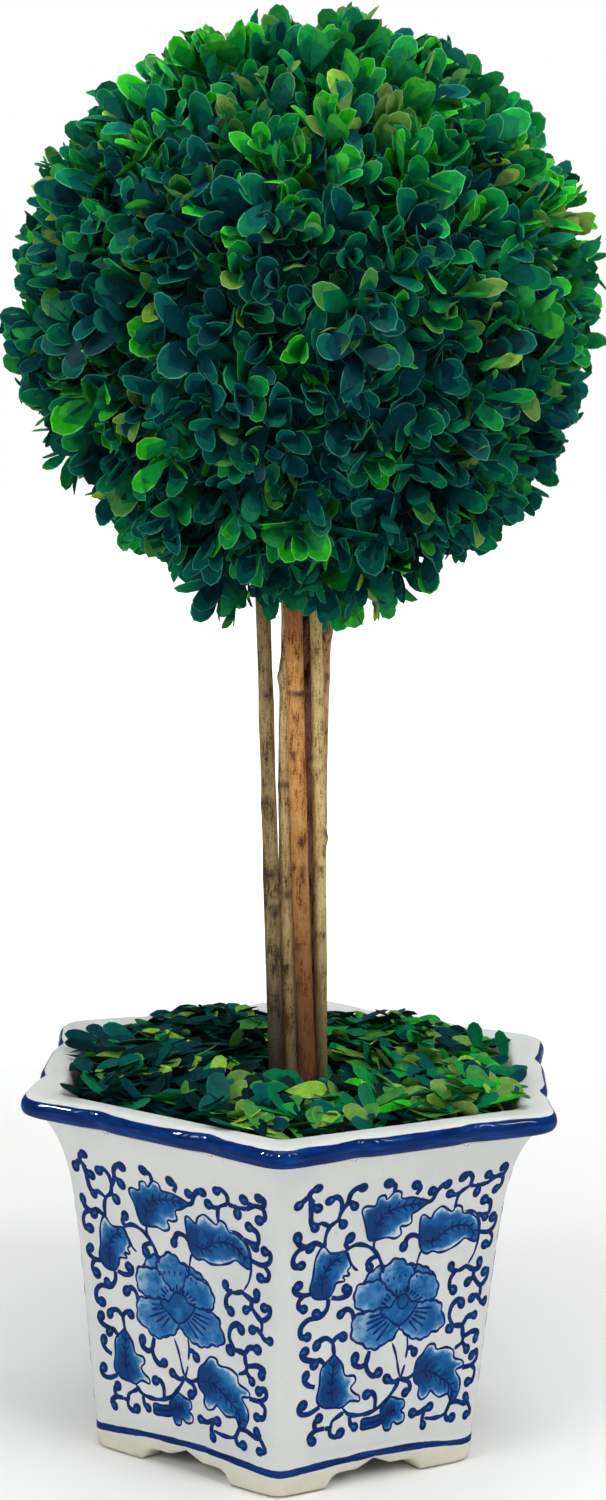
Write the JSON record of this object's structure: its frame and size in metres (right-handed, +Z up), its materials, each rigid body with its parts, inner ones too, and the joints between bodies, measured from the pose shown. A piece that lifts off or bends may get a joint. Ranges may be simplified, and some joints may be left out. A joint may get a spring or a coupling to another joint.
{
  "type": "potted box topiary ball",
  "caption": "Clipped boxwood ball on a bundle of thin bare stems, standing in a six-sided glazed pot whose top is covered with loose boxwood leaves.",
  "frame": {"origin": "on the ground under the middle of the pot, which is also the middle of the whole part's footprint", "axes": "+Z up along the stems, -Y out through one corner of the pot, towards the side that the picture shows"},
  "size_m": [0.2017, 0.2028, 0.4858],
  "materials": {
    "pot_glaze": "white glaze with cobalt blue rim, foot stripe and a painted scrolling-flower pattern",
    "filler": "dry plaster filling, hidden under the leaves",
    "bed_leaves": "loose dried boxwood leaves, slightly waxy",
    "bark_grey": "thin grey-brown bark",
    "bark_tan": "thin tan bark",
    "bark_orange": "smooth orange-brown bark",
    "bark_olive": "olive-yellow bark with dark specks",
    "bark_dark": "dark purple-brown bark",
    "ball_leaves": "small deep green boxwood leaves, slightly waxy"
  },
  "bodies": {
    "root": {"pot": "pot_glaze", "filler": "filler", "leaf_bed": "bed_leaves", "stem_left": "bark_grey", "stem_second": "bark_tan", "stem_centre": "bark_orange", "stem_right": "bark_olive", "stem_back": "bark_dark", "stem_back_right": "bark_tan", "ball": "ball_leaves"}
  },
  "joints": []
}
